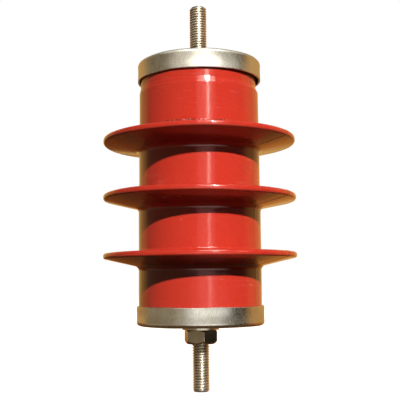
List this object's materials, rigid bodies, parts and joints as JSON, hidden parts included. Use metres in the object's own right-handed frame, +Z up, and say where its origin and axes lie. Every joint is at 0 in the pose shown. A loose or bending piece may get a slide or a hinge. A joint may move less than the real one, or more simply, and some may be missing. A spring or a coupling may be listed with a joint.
{
  "type": "polymer-housed line arrester",
  "caption": "Red ribbed cylindrical insulator with thin round sheds, a drawn steel cap at each end and a threaded stud with a nut and washer at each end.",
  "frame": {"origin": "centre of the bottom cap's outer face, on the axis of the studs", "axes": "+Z up the axis to the top stud; -Y is the front; +X is to the right seen from the front"},
  "size_m": [0.1112, 0.1112, 0.2238],
  "materials": {
    "housing_rubber": "glossy moulded silicone rubber, red",
    "glass_fibre": "filament-wound glass fibre and epoxy",
    "liner": "cast insulating compound",
    "varistor": "sintered zinc oxide with a dull glass collar",
    "aluminium": "turned",
    "spring_steel": "oil-tempered wire",
    "copper": "rolled copper strip",
    "black_rubber": "moulded, matt",
    "pin_steel": "ground",
    "cap_steel": "drawn stainless sheet, finely brushed",
    "stud_steel": "rolled thread, zinc plated, slightly dulled",
    "nut_steel": "zinc plated, darkened",
    "washer_steel": "stamped, zinc plated"
  },
  "bodies": {
    "arrester": {"housing": "housing_rubber", "shed_1": "housing_rubber", "shed_2": "housing_rubber", "shed_3": "housing_rubber", "core_tube": "glass_fibre", "insulating_liner": "liner", "pressure_plate": "aluminium", "compression_spring": "spring_steel", "shunt_strap": "copper", "contact_disc_1": "aluminium", "contact_disc_2": "aluminium", "contact_disc_3": "aluminium", "contact_disc_4": "aluminium", "contact_disc_5": "aluminium", "varistor_disc_1": "varistor", "varistor_disc_2": "varistor", "varistor_disc_3": "varistor", "varistor_disc_4": "varistor", "bottom_cap": "cap_steel", "bottom_gasket": "black_rubber", "bottom_electrode": "aluminium", "bottom_seal_ring": "black_rubber", "bottom_lock_pins": "pin_steel", "bottom_stud": "stud_steel", "top_cap": "cap_steel", "top_gasket": "black_rubber", "top_electrode": "aluminium", "top_seal_ring": "black_rubber", "top_lock_pins": "pin_steel", "top_stud": "stud_steel"},
    "bottom_washer": {"bottom_washer": "washer_steel"},
    "bottom_nut": {"bottom_nut": "nut_steel"},
    "top_washer": {"top_washer": "washer_steel"},
    "top_nut": {"top_nut": "nut_steel"}
  },
  "joints": [
    {"name": "bottom_washer_slide", "type": "slide", "parent": "arrester", "child": "bottom_washer", "axis": [0, 0, -1], "range_m": [0, 0.02551]},
    {"name": "bottom_nut_turn", "type": "hinge", "parent": "bottom_washer", "child": "bottom_nut", "pos_m": [0, 0, -0.0025], "axis": [0, 0, -1], "range_deg": [0, 6120]},
    {"name": "top_washer_slide", "type": "slide", "parent": "arrester", "child": "top_washer", "axis": [0, 0, 1], "range_m": [0, 0.02551]},
    {"name": "top_nut_turn", "type": "hinge", "parent": "top_washer", "child": "top_nut", "pos_m": [0, 0, 0.1542], "axis": [0, 0, 1], "range_deg": [0, 6120]}
  ],
  "couplings": [
    {"joint": "bottom_washer_slide", "follows": "bottom_nut_turn", "m_per_rad": 0.00023873},
    {"joint": "top_washer_slide", "follows": "top_nut_turn", "m_per_rad": 0.00023873}
  ]
}
